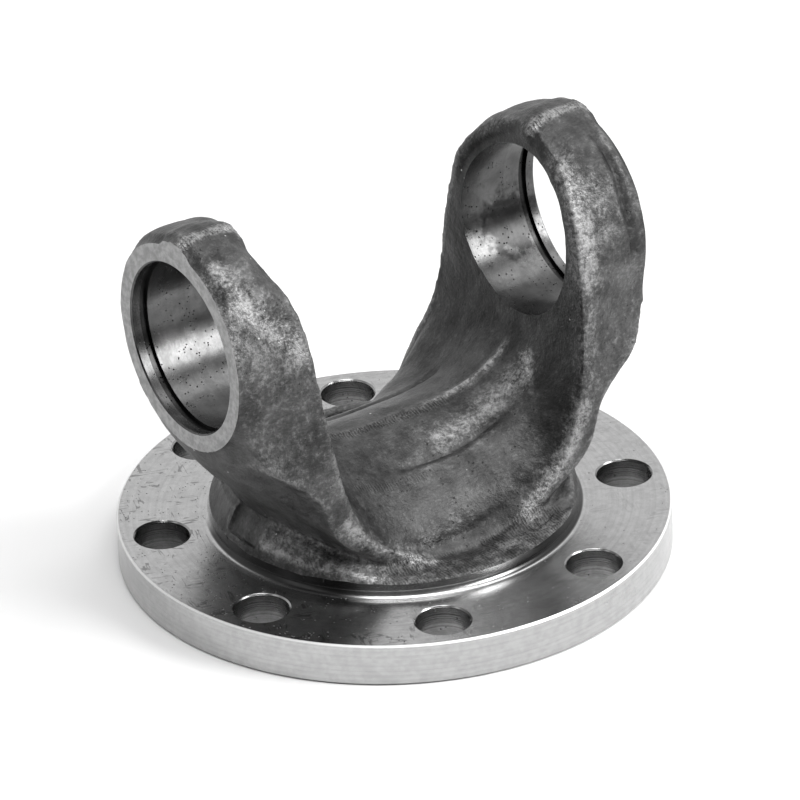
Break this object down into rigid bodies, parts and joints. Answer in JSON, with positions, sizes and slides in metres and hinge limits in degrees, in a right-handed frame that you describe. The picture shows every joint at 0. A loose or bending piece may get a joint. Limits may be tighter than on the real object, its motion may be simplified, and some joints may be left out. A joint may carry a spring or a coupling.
{
  "type": "flange yoke",
  "caption": "Forged fork of a cardan joint on a round bolted flange, with machined cross bores and ring grooves.",
  "frame": {"origin": "centre of the mounting face, on the axis of the bolt circle", "axes": "+Z along the shaft axis from the flange towards the fork, +X along the cross bores"},
  "size_m": [0.165, 0.165, 0.1259],
  "materials": {
    "forged_steel": "dark forged skin with satin machined faces"
  },
  "bodies": {
    "root": {"flange_yoke": "forged_steel"}
  },
  "joints": []
}
